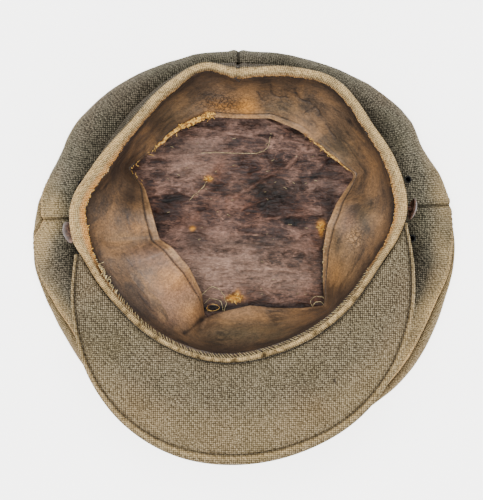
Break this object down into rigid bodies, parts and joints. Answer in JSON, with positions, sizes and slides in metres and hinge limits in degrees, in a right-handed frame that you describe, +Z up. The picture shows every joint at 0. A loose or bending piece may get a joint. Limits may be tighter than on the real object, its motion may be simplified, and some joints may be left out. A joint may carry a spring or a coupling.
{
  "type": "cloth trench cap",
  "caption": "Soft cloth trench cap lying upside down on its crown, with a stitched peak, a creased leather sweatband, an oilcloth lining, side buttons and vent eyelets.",
  "frame": {"origin": "on the surface the cap lies on, under the middle of its crown", "axes": "+Z up, out of the head opening; -Y towards the peak; +X to the right of somebody who looks into the opening with the peak towards them"},
  "size_m": [0.2727, 0.2605, 0.0899],
  "materials": {
    "khaki_wool": "matte, heathery twill",
    "brown_leather": "worn, satin where rubbed",
    "brown_oilcloth": "creased, dull",
    "dull_bronze": "darkened",
    "blackened_metal": "matte"
  },
  "bodies": {
    "root": {"crown_top": "khaki_wool", "quarter_back_right": "khaki_wool", "quarter_back_left": "khaki_wool", "quarter_front_left": "khaki_wool", "quarter_front_right": "khaki_wool", "band": "khaki_wool", "peak": "khaki_wool", "sweatband_left": "brown_leather", "sweatband_right": "brown_leather", "lining": "brown_oilcloth", "button_left": "dull_bronze", "button_right": "dull_bronze", "vent_right_back": "blackened_metal", "vent_right_front": "blackened_metal", "vent_left_back": "blackened_metal", "vent_left_front": "blackened_metal"}
  },
  "joints": []
}
